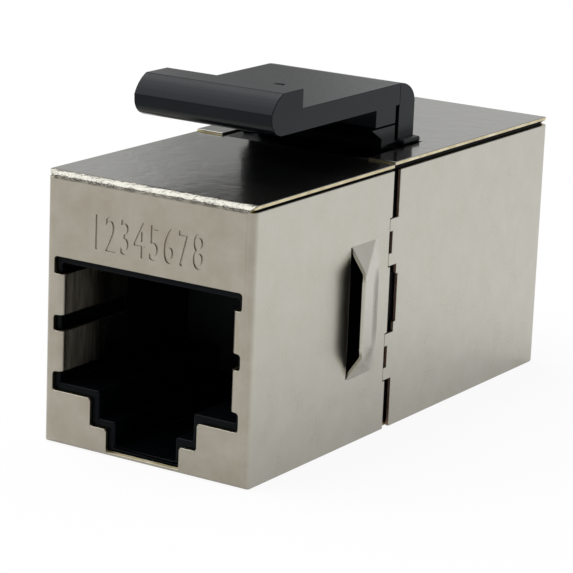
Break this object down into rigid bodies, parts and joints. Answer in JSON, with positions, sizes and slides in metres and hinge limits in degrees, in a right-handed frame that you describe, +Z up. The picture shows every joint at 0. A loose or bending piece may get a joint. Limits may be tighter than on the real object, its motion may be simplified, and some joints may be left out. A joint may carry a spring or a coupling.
{
  "type": "rj45 inline coupler",
  "caption": "Shielded inline coupler that joins two RJ45 plugs, with a port at each end of a folded metal body and a keystone latch on top.",
  "frame": {"origin": "centre of the rectangle that bounds the part seen from above, on its flat bottom face", "axes": "-Y is the way the front port looks, +Y the way the rear port looks, +X to the right seen from the front, +Z up with the keystone latch on top"},
  "size_m": [0.0166, 0.035, 0.0218],
  "materials": {
    "plated_sheet": "nickel-plated brass sheet, satin",
    "housing_plastic": "black moulded",
    "carrier_plastic": "black moulded",
    "board_laminate": "solder mask over glass laminate",
    "contact_gold": "gold-plated bronze",
    "latch_plastic": "black moulded, satin"
  },
  "bodies": {
    "coupler_body": {"front_shell": "plated_sheet", "rear_shell": "plated_sheet", "front_housing": "housing_plastic", "rear_housing": "housing_plastic", "front_contact_carrier": "carrier_plastic", "rear_contact_carrier": "carrier_plastic", "circuit_board": "board_laminate", "front_contact_1": "contact_gold", "front_contact_2": "contact_gold", "front_contact_3": "contact_gold", "front_contact_4": "contact_gold", "front_contact_5": "contact_gold", "front_contact_6": "contact_gold", "front_contact_7": "contact_gold", "front_contact_8": "contact_gold", "rear_contact_1": "contact_gold", "rear_contact_2": "contact_gold", "rear_contact_3": "contact_gold", "rear_contact_4": "contact_gold", "rear_contact_5": "contact_gold", "rear_contact_6": "contact_gold", "rear_contact_7": "contact_gold", "rear_contact_8": "contact_gold"},
    "latch": {"keystone_latch": "latch_plastic"}
  },
  "joints": [
    {"name": "latch_press", "type": "hinge", "parent": "coupler_body", "child": "latch", "pos_m": [0, 0.0018, 0.0166], "axis": [1, 0, 0], "range_deg": [0, 5], "stiffness_Nm_per_rad": 0.4}
  ]
}
